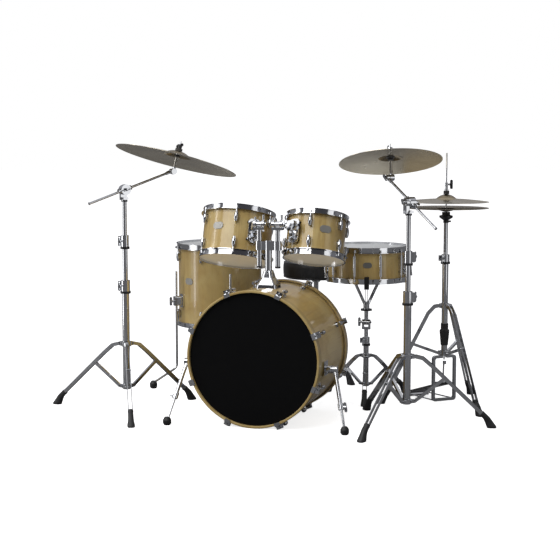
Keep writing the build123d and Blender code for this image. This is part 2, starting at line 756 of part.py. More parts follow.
for name, stand in boom_stands.items():
    foot = stand["foot"]
    drop = stand["drop"]
    turn, start, end, run, hinge, normal, seat = boom_geometry(stand)
    with BuildPart() as stand_legs:
        azimuths = tripods[name][1]
        hub(foot, azimuths, 98, 18, lower_tube, 30)
        hub(foot, azimuths, 286, 22, lower_tube, 30)
        for azimuth in azimuths:
            plane = side_plane(foot, azimuth)
            leg(plane, leg_path(name, [(33, 297), (66, 289)]), leg_width)
            brace(plane, (34, 107), (158, 206), 13)
        bar(foot + up * 94, foot + up * (clamp_one - drop / 4 + 10), lower_tube)
        clamp(foot + up * (clamp_one - drop / 4), 58, 20, middle_tube + slide_fit, stand["bolts"])
        drill(foot + up * 120, foot + up * (clamp_one - drop / 4), 14)
    save(stand_legs, f"{name}_stand_legs")

    with BuildPart() as stand_middle:
        bar(foot + up * 300, foot + up * (clamp_two - drop + 5), middle_tube, upper_tube + 0.5)
        clamp(foot + up * (clamp_two - drop), 60, 17, upper_tube + slide_fit, stand["bolts"])
    save(stand_middle, f"{name}_stand_middle")

    with BuildPart() as stand_top:
        bar(foot + up * 560, foot + up * (tilter_base - drop + 4), upper_tube)
        bar(foot + up * (tilter_base - drop), foot + up * (tilter_base - drop + 6), 14)
        bar(foot + up * (tilter_base - drop + 6), turn - up * 34, 12)
        inner = turn - hinge * 4
        outer = turn - hinge * 18
        bar(outer, inner, cheek_radius)
        with Locations(Plane(origin=turn - hinge * 11 - up * 26, x_dir=hinge, z_dir=up)):
            Box(14, 30, 40)
        with Locations(Plane(origin=turn - up * 39, x_dir=hinge, z_dir=up)):
            Box(36, 24, 10)
        drill(outer - hinge * 5, inner + hinge * 1, pin_radius + slide_fit)
        drill(turn - hinge * (4 - 0.01), turn + hinge * 30, 24)
    save(stand_top, f"{name}_stand_top")

    with BuildPart() as boom_clamp:
        bar(turn - hinge * (4 - side_gap), turn + hinge * 24, cheek_radius + 3)
        bar(turn - hinge * 27, turn + hinge * 2, pin_radius)
        with BuildSketch(Plane(origin=turn - hinge * 26, x_dir=run, z_dir=hinge)):
            SlotOverall(46, 14)
        extrude(amount=3.6)
        bar(turn - hinge * 30, turn - hinge * 22, 8)
        bar(start - run * 30, start + run * 30, 11)
        drill(start - run * 50, start + run * 50, boom_radius + slide_fit)
        wing_bolt(turn + hinge * 23, hinge, run, 6)
    save(boom_clamp, f"{name}_boom_clamp")

    with BuildPart() as boom:
        back = start - run * 186
        bar(back, end - run * 4, boom_radius)
        bar(back - run * 4, back, boom_radius + 1)
        bar(end - run * 32, end - run * 16, 7.5)
        bar(end - hinge * 5.5, end + hinge * 8.2, 12)
        drill(end - hinge * 20, end + hinge * 20, pin_radius + slide_fit)
    save(boom, f"{name}_boom")

    # The tilter: a disc beside the end of the boom, its pin, and the post that the cymbal sits on.
    with BuildPart() as cymbal_tilter:
        bar(seat, seat + hinge * tilter_half * 2, 13.5)
        bar(seat - hinge * 20, seat + hinge * 2, pin_radius)
        with BuildSketch(Plane(origin=seat - hinge * 23, x_dir=run, z_dir=hinge)):
            SlotOverall(40, 12)
        extrude(amount=5)
        crown = stand["crown"]
        bar(seat + hinge * tilter_half, crown - normal * 14.5, 7)
        bar(crown - normal * 14.5, crown + normal * 44, 3.0)
        # Washer and felt under the cymbal, felt and wing nut above it.
        bar(crown - normal * 27, crown - normal * 16, 12)
        bar(crown - normal * 16, crown - normal * 11.5, 19)
        bar(crown - normal * 11.5, crown - normal * 3.4, 14)
        bar(crown + normal * 0.4, crown + normal * 10.4, 16)
        bar(crown + normal * 10.4, crown + normal * 28, 11)
        with BuildSketch(Plane(origin=crown + normal * 24, x_dir=run, z_dir=run.cross(normal))):
            SlotOverall(38, 14)
        extrude(amount=1.8, both=True)
    save(cymbal_tilter, f"{name}_cymbal_tilter")


# ------------------------------------------------------------------ cymbals
def cymbal(name, centre, normal, x_dir, radius, bell, rise, bell_rise, bore):
    """A cymbal: a shallow bow with a raised bell, its bore at centre."""
    section = Plane(origin=centre, x_dir=x_dir, z_dir=x_dir.cross(normal))
    edge = -rise - bell_rise
    shoulder = -bell_rise * 0.32
    middle, bend = (bell + radius) / 2, -bell_rise - rise * 0.36
    with BuildPart() as plate_of_bronze:
        with BuildSketch(section):
            with BuildLine():
                crown = ThreePointArc((bore, 0), (bell * 0.6, shoulder), (bell, -bell_rise))
                bow = ThreePointArc(crown @ 1, (middle, bend), (radius, edge))
                rim = Line(bow @ 1, (radius, edge - cymbal_sheet * 0.6))
                inner_bell = (bell - 0.6, -bell_rise - cymbal_sheet)
                under = ThreePointArc(rim @ 1, (middle, bend - cymbal_sheet), inner_bell)
                bend_in_bell = (bell * 0.6 - 0.5, shoulder - cymbal_sheet)
                cup = ThreePointArc(under @ 1, bend_in_bell, (bore, -cymbal_sheet))
                Line(cup @ 1, crown @ 0)
            make_face()
        revolve(axis=Axis(centre, normal))
    save(plate_of_bronze, name)


for name, radius, bell, rise, bell_rise, stand_name in [
    ("ride_cymbal", ride_radius, 64, 22, 23, "left"),
    ("crash_cymbal", crash_radius, 52, 17, 17, "right"),
]:
    normal = boom_stands[stand_name]["lean"].normalized()
    level = normal.cross(up).normalized()
    cymbal(name, boom_stands[stand_name]["crown"], normal, level, radius, bell, rise, bell_rise, 6.5)

# ------------------------------------------------------------------ snare stand
snare_azimuths = tripods["snare"][1]
basket_pivot = 352.0
basket_arms = 438.0  # where the three arms meet
arm_azimuths = [-76, 44, 164]
basket_hinge = snare_stand + up * basket_pivot

with BuildPart() as snare_stand_legs:
    hub(snare_stand, snare_azimuths, 55, 14, 12.5, 24)
    hub(snare_stand, snare_azimuths, 186, 18, 12.5, 24)
    for azimuth in snare_azimuths:
        plane = side_plane(snare_stand, azimuth)
        leg(plane, leg_path("snare", [(28, 195), (48, 189)]), 14)
        brace(plane, (28, 62), (108, 131), 11)
    bar(snare_stand + up * 52, snare_stand + up * 252, 12.5)
    clamp(snare_stand + up * 242, 40, 16.5, upper_tube + slide_fit, 200)
    drill(snare_stand + up * 75, snare_stand + up * 242, 10.5)
save(snare_stand_legs, "snare_stand_legs")

with BuildPart() as snare_stand_tube:
    bar(snare_stand + up * 130, basket_hinge - up * 28, upper_tube)
    for way in [-1, 1]:
        cheek = basket_hinge + Vector(way * 15, 0, 0)
        bar(cheek - Vector(3.5, 0, 0), cheek + Vector(3.5, 0, 0), 13)
        with Locations(Plane(origin=cheek - up * 16)):
            Box(7, 18, 24)
    with Locations(Plane(origin=basket_hinge - up * 28)):
        Box(37, 20, 10)
    drill(basket_hinge - Vector(30, 0, 0), basket_hinge + Vector(30, 0, 0), pin_radius + slide_fit)
save(snare_stand_tube, "snare_stand_tube")

drum_low = snare_frame.origin.Z - snare_depth / 2 - hoop_rise
hoop_edge = snare_radius + hoop_gap + 12.5
with BuildPart() as snare_basket:
    bar(basket_hinge - Vector(11, 0, 0), basket_hinge + Vector(11, 0, 0), 13)
    bar(basket_hinge - Vector(24, 0, 0), basket_hinge + Vector(24, 0, 0), pin_radius)
    wing_bolt(basket_hinge - Vector(23, 0, 0), Vector(-1, 0, 0), up, 2)
    bar(basket_hinge + up * 8, snare_stand + up * 408, 9.5)
    bar(snare_stand + up * 406, snare_stand + up * 414, 26)
    bar(snare_stand + up * 414, snare_stand + up * (basket_arms + 8), 14)
    for azimuth in arm_azimuths:
        plane = side_plane(snare_stand, azimuth)
        path = [(10, basket_arms), (62, drum_low - 14), (hoop_edge + 5, drum_low - 14)]
        strips(plane, path, 10, 6, 2.5)
        with BuildSketch(plane):
            with BuildLine():
                Polyline(
                    (hoop_edge - 22, drum_low - 20),
                    (hoop_edge + 12, drum_low - 20),
                    (hoop_edge + 12, drum_low + 32),
                    (hoop_edge + 2, drum_low + 36),
                    (hoop_edge + 1, drum_low - 0.3),
                    (hoop_edge - 22, drum_low - 0.3),
                    close=True,
                )
            make_face()
        extrude(amount=11, both=True)
save(snare_basket, "snare_basket")

# ------------------------------------------------------------------ hi-hat
hihat_azimuths = tripods["hihat"][1]
pedal_azimuth = 131.0
hihat_top = 824.0
pedal_way = heading(pedal_azimuth)
pedal_side = heading(pedal_azimuth - 90)
hihat_heel = hihat_stand + pedal_way * 240 + up * 18
top_cymbal_z = 951.0

with BuildPart() as hihat_stand_legs:
    hub(hihat_stand, hihat_azimuths, 440, 22, 14, 24)
    hub(hihat_stand, hihat_azimuths, 226, 22, 14, 26)
    for azimuth in hihat_azimuths:
        plane = side_plane(hihat_stand, azimuth)
        leg(plane, leg_path("hihat", [(27, 451), (46, 447)]), 15)
        brace(plane, (30, 237), (143, 276), 12)
    bar(hihat_stand + up * 226, hihat_stand + up * 660, 14)
    turned(
        Plane(origin=hihat_stand + up * 273),
        [(10, 0), (16.5, 0), (22, 60), (22, 68), (17, 72), (17, 98), (10, 98)],
    )
    clamp(hihat_stand + up * 640, 42, 18, upper_tube + slide_fit, 200)
    drill(hihat_stand + up * 200, hihat_stand + up * 640, 11.5)
    # The loop that the pedal hangs in, its foot plate's hinge and the two rods between them.
    loop = Plane(origin=hihat_stand, x_dir=pedal_side, z_dir=pedal_side.cross(up))
    with BuildSketch(loop):
        with Locations((0, 122)):
            RectangleRounded(120, 208, 14)
            RectangleRounded(96, 184, 8, mode=Mode.SUBTRACT)
    extrude(amount=7, both=True)
    drill(hihat_stand + up * 200, hihat_stand + up * 232, 11.5)
    for way in [-1, 1]:
        side = pedal_side * way
        bar(hihat_stand + side * 54 + up * 24, hihat_heel + side * 50 - up * 8, 3)
    base_plate = Plane(origin=hihat_heel + pedal_way * 8 - up * 15, x_dir=pedal_side, z_dir=up)
    with Locations(base_plate):
        Box(106, 46, 6)
    for way in [-1, 1]:
        ear = hihat_heel + pedal_side * way * 50
        bar(ear - pedal_side * 3, ear + pedal_side * 3, 9)
        with Locations(Plane(origin=ear - up * 8, x_dir=pedal_side, z_dir=up)):
            Box(6, 18, 14)
    drill(hihat_heel - pedal_side * 60, hihat_heel + pedal_side * 60, 4 + slide_fit)
save(hihat_stand_legs, "hihat_stand_legs")


def footboard(heel, way, side, toe, length):
    """A pedal's foot plate on its heel pin, with a raised toe stop."""
    rise = toe - heel.Z
    board = Plane(origin=heel, x_dir=-way, z_dir=-side)
    plate(
        board,
        [
            (-12, 1),
            (0, 8),
            (60, 8 + rise * 60 / length),
            (length, 8 + rise),
            (length + 8, 20 + rise),
            (length + 12, 18 + rise),
            (length + 3, 1 + rise),
            (60, 1 + rise * 60 / length),
            (0, -5),
            (-10, -5),
        ],
        84,
    )
    bar(heel - side * 44, heel + side * 44, 7)
    bar(heel - side * 52, heel + side * 52, 4)


with BuildPart() as hihat_footboard:
    footboard(hihat_heel, pedal_way, pedal_side, 84, 216)
    toe = hihat_stand + pedal_way * 8 + up * 98
    bar(toe, hihat_stand + pedal_way * 2 + up * 196, 3.5)
    bar(hihat_stand + up * 186 - pedal_way * 4, hihat_stand + up * 200 - pedal_way * 4, 8)
    bar(toe - pedal_side * 9, toe + pedal_side * 9, 6)
save(hihat_footboard, "hihat_footboard")

with BuildPart() as hihat_tube:
    rod_hole = 3.2 + slide_fit
    bar(hihat_stand + up * 420, hihat_stand + up * hihat_top, upper_tube, rod_hole)
    turned(
        Plane(origin=hihat_stand + up * hihat_top),
        [(rod_hole, 0), (12, 0), (12, 12), (20, 17), (30, 24), (30, 32), (18, 35), (18, 48), (rod_hole, 48)],
    )
    screw = hihat_stand + up * (hihat_top + 6)
    bar(screw + pedal_side * 8, screw + pedal_side * 24, 4)
save(hihat_tube, "hihat_tube")

with BuildPart() as hihat_rod:
    bar(hihat_stand + up * 206, hihat_stand + up * 1134, 3.2)
    bar(hihat_stand + up * (top_cymbal_z - 11), hihat_stand + up * (top_cymbal_z - 4), 11)
    bar(hihat_stand + up * (top_cymbal_z + 0.6), hihat_stand + up * (top_cymbal_z + 16), 13)
    bar(hihat_stand + up * (top_cymbal_z + 16), hihat_stand + up * (top_cymbal_z + 22), 9)
    bar(hihat_stand + up * (top_cymbal_z + 22), hihat_stand + up * (top_cymbal_z + 52), 7)
    bar(hihat_stand + up * (top_cymbal_z - 4), hihat_stand + up * (top_cymbal_z + 0.6), 6)
    screw_way = heading(17.7)
    wing_bolt(hihat_stand + up * (top_cymbal_z + 44), screw_way, Vector(0, 0, 1), 14)
save(hihat_rod, "hihat_rod")

top_bell = hihat_stand + up * top_cymbal_z
cymbal("hihat_top_cymbal", top_bell, up, Vector(1, 0, 0), hihat_radius, 46, 13, 20, 6.5)
with BuildPart() as hihat_bottom_cymbal:
    section = Plane(origin=hihat_stand + up * (hihat_top + 49.5), x_dir=(1, 0, 0), z_dir=(0, -1, 0))
    with BuildSketch(section):
        with BuildLine():
            cup = ThreePointArc((6.5, 0), (28, 5), (46, 13))
            bow = ThreePointArc(cup @ 1, (112, 15.6), (hihat_radius, 16.6))
            rim = Line(bow @ 1, (hihat_radius, 17.6))
            upper = ThreePointArc(rim @ 1, (112, 17.1), (46, 14.5))
            inner = ThreePointArc(upper @ 1, (28, 6.5), (6.5, 1.5))
            Line(inner @ 1, cup @ 0)
        make_face()
    revolve(axis=Axis(hihat_stand, up))
save(hihat_bottom_cymbal, "hihat_bottom_cymbal")

# ------------------------------------------------------------------ throne
throne_azimuths = tripods["throne"][1]
seat_low, seat_high = 505.0, 597.0

with BuildPart() as throne_legs:
    hub(throne, throne_azimuths, 78, 16, 16, 28)
    hub(throne, throne_azimuths, 262, 22, 16, 28)
    for azimuth in throne_azimuths:
        plane = side_plane(throne, azimuth)
        leg(plane, leg_path("throne", [(32, 273), (60, 266)]), leg_width)
        brace(plane, (32, 86), (144, 179), 13)
    bar(throne + up * 74, throne + up * 350, 16)
    clamp(throne + up * 340, 50, 21, 12.5 + slide_fit, 60)
    drill(throne + up * 100, throne + up * 340, 14)
save(throne_legs, "throne_legs")

with BuildPart() as throne_seat:
    bar(throne + up * 190, throne + up * (seat_low - 6), 12.5)
    with Locations(Plane(origin=throne + up * (seat_low - 8))):
        Box(110, 90, 8)
    turned(
        Plane(origin=throne),
        [
            (0, seat_low - 4.5),
            (150, seat_low - 4.5),
            (162, seat_low + 6),
            (166, seat_low + 40),
            (164, seat_low + 72),
            (150, seat_high - 4),
            (120, seat_high),
            (0, seat_high - 3),
        ],
    )
save(throne_seat, "throne_seat")

# ------------------------------------------------------------------ bass drum pedal
axle = at(0, 268, 152)
pedal_heel = at(0, 560, 20)
beater_angle = 34.0  # how far the beater leans back from upright at rest
beater_length = 188.0
side_x = Vector(1, 0, 0)

with BuildPart() as pedal_frame:
    for way in [-1, 1]:
        post = at(way * 52, 268)
        with Locations(Plane(origin=post + up * 80)):
            Box(12, 22, 150)
        bar(axle + side_x * way * 46, axle + side_x * way * 58, 13)
    with Locations(Plane(origin=at(0, 268, 7))):
        Box(116, 34, 8)
    with Locations(Plane(origin=at(0, 246, 20))):
        Box(44, 26, 8)
    with Locations(Plane(origin=at(0, 250, 12))):
        Box(36, 14, 16)
    drill(axle - side_x * 70, axle + side_x * 70, 6 + slide_fit)
    with Locations(Plane(origin=at(0, 574, 3))):
        Box(112, 70, 6)
    for way in [-1, 1]:
        ear = pedal_heel + side_x * way * 50
        bar(ear - side_x * 3, ear + side_x * 3, 9)
        with Locations(Plane(origin=ear - up * 9)):
            Box(6, 18, 18)
        bar(at(way * 48, 280, 6), at(way * 48, 545, 5), 3.5)
    drill(pedal_heel - side_x * 60, pedal_heel + side_x * 60, 4 + slide_fit)
save(pedal_frame, "pedal_frame")

with BuildPart() as pedal_footboard:
    footboard(pedal_heel, Vector(0, 1, 0), side_x, 92, 250)
    bar(at(0, 296, 98), at(0, 296, 150), 3.5)
save(pedal_footboard, "pedal_footboard")

with BuildPart() as pedal_beater:
    shaft = Vector(0, sin(radians(beater_angle)), cos(radians(beater_angle)))
    face = Vector(0, -cos(radians(beater_angle)), sin(radians(beater_angle)))
    head = axle + shaft * beater_length
    bar(axle - side_x * 62, axle + side_x * 62, 6)
    bar(axle - side_x * 6, axle + side_x * 6, 22)
    bar(axle - side_x * 16, axle + side_x * 16, 12)
    bar(axle - shaft * 20, head + shaft * 14, 3.5)
    bar(head - face * 24, head + face * 24, 24)
save(pedal_beater, "pedal_beater")
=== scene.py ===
"""Acoustic drum kit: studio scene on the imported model. Metres, +Z up, the audience towards -Y."""

import bpy
import bmesh
from math import cos, hypot, pi, radians, sin
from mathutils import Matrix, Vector


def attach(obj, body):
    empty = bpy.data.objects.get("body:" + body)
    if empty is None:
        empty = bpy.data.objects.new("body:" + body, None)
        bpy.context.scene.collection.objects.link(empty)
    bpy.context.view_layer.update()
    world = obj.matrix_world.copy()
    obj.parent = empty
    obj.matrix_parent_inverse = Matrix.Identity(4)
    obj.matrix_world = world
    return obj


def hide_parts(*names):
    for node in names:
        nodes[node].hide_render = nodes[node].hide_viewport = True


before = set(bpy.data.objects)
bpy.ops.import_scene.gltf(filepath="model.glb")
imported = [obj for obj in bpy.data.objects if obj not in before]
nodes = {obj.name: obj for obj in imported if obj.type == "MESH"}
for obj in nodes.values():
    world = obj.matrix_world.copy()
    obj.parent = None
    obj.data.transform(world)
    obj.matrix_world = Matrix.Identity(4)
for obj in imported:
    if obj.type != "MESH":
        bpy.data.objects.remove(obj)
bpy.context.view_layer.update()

# ---------------------------------------- places, in millimetres from under the bass drum
bass_x, bass_y = 30.63, -464.19
left_stand, right_stand = (-652, -41), (600, 13)
snare_stand, hihat_stand, throne = (289, 560), (666, 500), (-80, 1000)
drums = {
    "left_tom": ((-199, 155, 767), 17.5, 151.5),
    "right_tom": ((162, 155, 770.5), 17.5, 126.5),
    "floor_tom": ((-490, 720, 490), 0, 202.5),
    "snare": ((289, 560, 629), 0, 177),
    "bass": ((0, 0, 289), 90, 279.5),
}
badges = {"left_tom": (-105, 15), "right_tom": (-56.5, 15), "floor_tom": (243, 24), "snare": (-75, 4)}


def place(x, y, z=0.0):
    return Vector(((x + bass_x) / 1000, (y + bass_y) / 1000, z / 1000))


def millimetres(point):
    """The reverse of place, as a tuple."""
    return point.x * 1000 - bass_x, point.y * 1000 - bass_y, point.z * 1000


# ---------------------------------------- shader helpers
def material(name, **settings):
    """A new material with its Principled shader's own sockets set."""
    made = bpy.data.materials.new(name)
    made.use_nodes = True
    shader = made.node_tree.nodes["Principled BSDF"]
    for socket, value in settings.items():
        shader.inputs[socket.replace("_", " ")].default_value = value
    return made, made.node_tree, shader


def node(tree, kind, *, inputs=(), **settings):
    """A shader node with its properties and inputs set. An input is a value or another node's socket."""
    made = tree.nodes.new(kind)
    for name, value in settings.items():
        setattr(made, name, value)
    for key, value in dict(inputs).items():
        if isinstance(value, bpy.types.NodeSocket):
            tree.links.new(value, made.inputs[key])
        else:
            made.inputs[key].default_value = value
    return made


def vector_math(tree, operation, a, b=None, scale=None):
    made = node(tree, "ShaderNodeVectorMath", operation=operation, inputs={0: a})
    if b is not None:
        if isinstance(b, bpy.types.NodeSocket):
            tree.links.new(b, made.inputs[1])
        else:
            made.inputs[1].default_value = b
    if scale is not None:
        if isinstance(scale, bpy.types.NodeSocket):
            tree.links.new(scale, made.inputs["Scale"])
        else:
            made.inputs["Scale"].default_value = scale
    return made


def maths(tree, operation, *values):
    return node(tree, "ShaderNodeMath", operation=operation, inputs=dict(enumerate(values))).outputs[0]


def noise(tree, vector, scale, detail=4.0, roughness=0.55, distortion=0.0):
    settings = {"Vector": vector, "Scale": scale, "Detail": detail}
    settings.update({"Roughness": roughness, "Distortion": distortion})
    return node(tree, "ShaderNodeTexNoise", inputs=settings).outputs["Fac"]


def ramp(tree, factor, stops):
    """A colour ramp with the given (position, colour) stops."""
    made = node(tree, "ShaderNodeValToRGB", inputs={"Fac": factor})
    while len(made.color_ramp.elements) < len(stops):
        made.color_ramp.elements.new(0.5)
    for element, (position, colour) in zip(made.color_ramp.elements, stops):
        element.position = position
        element.color = (*colour, 1)
    return made.outputs["Color"]


def spread(tree, factor, low, high):
    """Factor from 0 to 1 brought to low to high."""
    settings = {"Value": factor, "To Min": low, "To Max": high}
    return node(tree, "ShaderNodeMapRange", inputs=settings).outputs[0]


def blend(tree, factor, a, b, mode="MIX"):
    made = node(tree, "ShaderNodeMix", data_type="RGBA", blend_type=mode)
    for index, value in ((0, factor), (6, a), (7, b)):
        if isinstance(value, bpy.types.NodeSocket):
            tree.links.new(value, made.inputs[index])
        elif index == 0:
            made.inputs[0].default_value = value
        else:
            made.inputs[index].default_value = (*value, 1)
    return made.outputs[2]


def bump(tree, shader, height, strength, distance):
    settings = {"Height": height, "Strength": strength, "Distance": distance}
    made = node(tree, "ShaderNodeBump", inputs=settings)
    tree.links.new(made.outputs["Normal"], shader.inputs["Normal"])


def here(tree):
    return node(tree, "ShaderNodeTexCoord").outputs["Object"]


def local(tree, centre, tilt):
    """Coordinates about a drum's centre, turned so that Z runs along the drum."""
    moved = vector_math(tree, "SUBTRACT", here(tree), place(*centre)).outputs[0]
    turned = node(tree, "ShaderNodeVectorRotate", rotation_type="X_AXIS", inputs={"Vector": moved})
    turned.inputs["Angle"].default_value = radians(tilt)
    return turned.outputs[0]


# ---------------------------------------- materials
honey, amber, cream = (0.53, 0.375, 0.140), (0.34, 0.195, 0.060), (0.68, 0.53, 0.26)


def birch(name, centre, tilt, around=False, tone=1.0):
    """Lacquered birch. The grain runs along the drum, or round it on a hoop. The tone argument scales the
    whole colour; on the drum shells it is painted light, each drum made lighter or darker to stand in for
    the light it gets.
    """
    made, tree, shader = material(
        name, Roughness=0.40, Coat_Weight=0.8, Coat_Roughness=0.035, Coat_IOR=1.5, Specular_IOR_Level=0.25
    )
    spot = local(tree, centre, tilt)
    if around:
        parts = node(tree, "ShaderNodeSeparateXYZ", inputs={0: spot})
        squares = [maths(tree, "MULTIPLY", parts.outputs[k], parts.outputs[k]) for k in (0, 1)]
        reach = maths(tree, "SQRT", maths(tree, "ADD", *squares))
        lanes = node(tree, "ShaderNodeCombineXYZ", inputs={0: parts.outputs[2], 1: reach})
        slow = vector_math(tree, "SCALE", spot, scale=0.03).outputs[0]
        grain_at = vector_math(tree, "ADD", lanes.outputs[0], slow).outputs[0]
    else:
        grain_at = vector_math(tree, "MULTIPLY", spot, (1.0, 1.0, 0.045)).outputs[0]
    waves = node(tree, "ShaderNodeTexNoise", inputs={"Vector": spot, "Scale": 5.0}).outputs["Color"]
    waves = vector_math(tree, "SCALE", waves, scale=0.012).outputs[0]
    warped = vector_math(tree, "ADD", grain_at, waves).outputs[0]
    streaks = noise(tree, warped, 70.0, 6.0, 0.66)
    pores = noise(tree, vector_math(tree, "MULTIPLY", warped, (1.0, 1.0, 1.6)).outputs[0], 620.0, 3.0, 0.6)
    clouds = noise(tree, spot, 5.5, 3.0, 0.6, 0.6)
    drawn_out = vector_math(tree, "MULTIPLY", spot, (1.0, 1.0, 0.35)).outputs[0]
    flames = noise(tree, drawn_out, 26.0, 4.0, 0.6, 1.2)
    base = ramp(tree, streaks, [(0.28, amber), (0.47, honey), (0.62, honey), (0.8, cream)])
    stops = [(0.36, (0.40, 0.265, 0.088)), (0.52, (0.54, 0.40, 0.16)), (0.66, (0.66, 0.53, 0.24))]
    patches = ramp(tree, clouds, stops)
    base = blend(tree, 0.45, base, patches)
    base = blend(tree, spread(tree, flames, -0.5, 0.55), base, (0.72, 0.60, 0.40), "SOFT_LIGHT")
    fine = ramp(tree, pores, [(0.30, (0.80, 0.76, 0.70)), (0.46, (1, 1, 1))])
    base = blend(tree, 0.55, base, fine, "MULTIPLY")
    # Painted light on the drum shells: the whole colour is scaled by tone to stand in for the light each
    # drum gets.
    base = blend(tree, 1.0, base, (tone, tone, tone), "MULTIPLY")
    tree.links.new(base, shader.inputs["Base Color"])
    tree.links.new(spread(tree, streaks, 0.30, 0.46), shader.inputs["Roughness"])
    bump(tree, shader, pores, 0.06, 0.0004)
    return made


def metal(name, colour, rough, spread_by, scratches=0.0, scale=60.0):
    """Plated metal: a little uneven in gloss, with faint wipe marks."""
    made, tree, shader = material(name, Metallic=1.0)
    spot = here(tree)
    smudge = noise(tree, spot, 14.0, 5.0, 0.6)
    drawn_out = vector_math(tree, "MULTIPLY", spot, (1.0, 1.0, 0.25)).outputs[0]
    fine = noise(tree, drawn_out, scale * 6, 3.0, 0.6)
    tint = ramp(tree, smudge, [(0.3, tuple(c * 0.90 for c in colour)), (0.65, colour)])
    tree.links.new(tint, shader.inputs["Base Color"])
    both = maths(tree, "ADD", maths(tree, "MULTIPLY", smudge, 0.7), maths(tree, "MULTIPLY", fine, 0.3))
    tree.links.new(spread(tree, both, rough, rough + spread_by), shader.inputs["Roughness"])
    if scratches:
        bump(tree, shader, fine, scratches, 0.0002)
    return made


def bronze(name, centre, lean, radius):
    """Turned cymbal bronze: rings from the lathe, tarnish, a soft sheen and a painted shade that darkens
    the bell.
    """
    made, tree, shader = material(name, Metallic=1.0, Anisotropic=0.35)
    axis = Vector(lean).normalized()
    spot = vector_math(tree, "SUBTRACT", here(tree), place(*centre)).outputs[0]
    along = vector_math(tree, "DOT_PRODUCT", spot, axis).outputs["Value"]
    lift = node(tree, "ShaderNodeVectorMath", operation="SCALE", inputs={"Scale": along})
    lift.inputs[0].default_value = axis
    flat = vector_math(tree, "SUBTRACT", spot, lift.outputs[0]).outputs[0]
    reach = vector_math(tree, "LENGTH", flat).outputs["Value"]
    grooves = {"W": reach, "Scale": 900.0, "Detail": 3.0}
    rings = node(tree, "ShaderNodeTexNoise", noise_dimensions="1D", inputs=grooves)
    swathes = {"W": reach, "Scale": 60.0, "Detail": 2.0}
    bands = node(tree, "ShaderNodeTexNoise", noise_dimensions="1D", inputs=swathes)
    tarnish = noise(tree, spot, 9.0, 6.0, 0.62, 0.4)
    dents = node(tree, "ShaderNodeTexVoronoi", feature="SMOOTH_F1", inputs={"Vector": flat, "Scale": 34.0})
    stops = [(0.30, (0.50, 0.43, 0.30)), (0.52, (0.68, 0.60, 0.44)), (0.72, (0.80, 0.73, 0.57))]
    base = ramp(tree, tarnish, stops)
    base = blend(tree, spread(tree, bands.outputs["Fac"], 0.0, 0.6), base, (0.44, 0.38, 0.28))
    base = blend(tree, spread(tree, rings.outputs["Fac"], 0.0, 0.5), base, (0.78, 0.72, 0.58))
    # Painted shade: the bell, inside about a quarter of the radius, is darkened to stand in for the shade
    # it lies in.
    share = maths(tree, "DIVIDE", reach, radius / 1000)
    painted_bell_shade = ramp(tree, share, [(0.215, (0.42, 0.38, 0.32)), (0.25, (1, 1, 1))])
    tree.links.new(blend(tree, 0.85, base, painted_bell_shade, "MULTIPLY"), shader.inputs["Base Color"])
    tree.links.new(spread(tree, tarnish, 0.17, 0.33), shader.inputs["Roughness"])
    hammered = maths(tree, "MULTIPLY", dents.outputs["Distance"], 1.6)
    height = maths(tree, "ADD", rings.outputs["Fac"], hammered)
    bump(tree, shader, height, 0.22, 0.0006)
    return made


def plain(name, colour, rough, grit, size, strength=0.25, wear=1.8, **settings):
    """Rubber, nylon, paint or felt: an even colour broken up a little, with a fine surface."""
    made, tree, shader = material(name, **settings)
    spot = here(tree)
    coarse = noise(tree, spot, 22.0, 4.0, 0.6)
    fine = noise(tree, spot, size, 3.0, 0.65)
    worn = tuple(min(1, c * wear + 0.006 * (wear - 1)) for c in colour)
    tree.links.new(ramp(tree, coarse, [(0.35, colour), (0.75, worn)]), shader.inputs["Base Color"])
    tree.links.new(spread(tree, coarse, rough - grit, rough + grit), shader.inputs["Roughness"])
    bump(tree, shader, fine, strength, 0.0005)
    return made


def film(name, colour, alpha, rough, specks, glow=0.0):
    """A drumhead's film, with the speckle of its coating. Its glow is painted light: the film gives off
    light in its own colour, standing in for light that passes through the head.
    """
    made, tree, shader = material(name, Alpha=alpha, Specular_IOR_Level=0.55, Emission_Strength=glow)
    shader.inputs["Emission Color"].default_value = (*colour, 1)
    spot = here(tree)
    grain = noise(tree, spot, 900.0, 2.0, 0.7)
    patches = noise(tree, spot, 7.0, 4.0, 0.55)
    darker = tuple(c * 0.90 for c in colour)
    tree.links.new(ramp(tree, patches, [(0.3, darker), (0.65, colour)]), shader.inputs["Base Color"])
    tree.links.new(spread(tree, patches, rough * 0.8, rough * 1.2), shader.inputs["Roughness"])
    bump(tree, shader, grain, specks, 0.0003)
    return made


# Painted light: each shell's birch is made lighter or darker to stand in for how much light reaches that
# drum; the snare, in shade, is lifted most.
painted_light_gains = {"left_tom": 1.0, "right_tom": 1.0, "floor_tom": 0.95, "snare": 1.35, "bass": 1.2}
shell_wood = {name: birch(f"{name}_birch", *drums[name][:2], tone=tone) for name, tone in painted_light_gains.items()}
hoop_wood = birch("hoop_birch", *drums["bass"][:2], around=True, tone=0.95)
chrome = metal("chrome_plate", (0.66, 0.67, 0.69), 0.03, 0.09)
soft_chrome = metal("satin_casting", (0.42, 0.43, 0.45), 0.26, 0.16, 0.15)
badge_metal = metal("badge_nickel", (0.40, 0.39, 0.36), 0.34, 0.12, 0.3, 160.0)
wire_steel = metal("wire_steel", (0.58, 0.58, 0.58), 0.18, 0.12)
ride_centre, ride_lean = (-477, 159.5, 1142.8), (0.178, 0.214, 0.960)
crash_centre, crash_lean = (487, 158.5, 1132.7), (-0.116, 0.249, 0.962)
rubber = plain("black_rubber", (0.011, 0.011, 0.012), 0.52, 0.08, 700.0, 0.3)
nylon = plain("black_nylon", (0.014, 0.014, 0.015), 0.36, 0.08, 900.0, 0.12)
gloss = {"Coat_Weight": 0.3, "Coat_Roughness": 0.2}
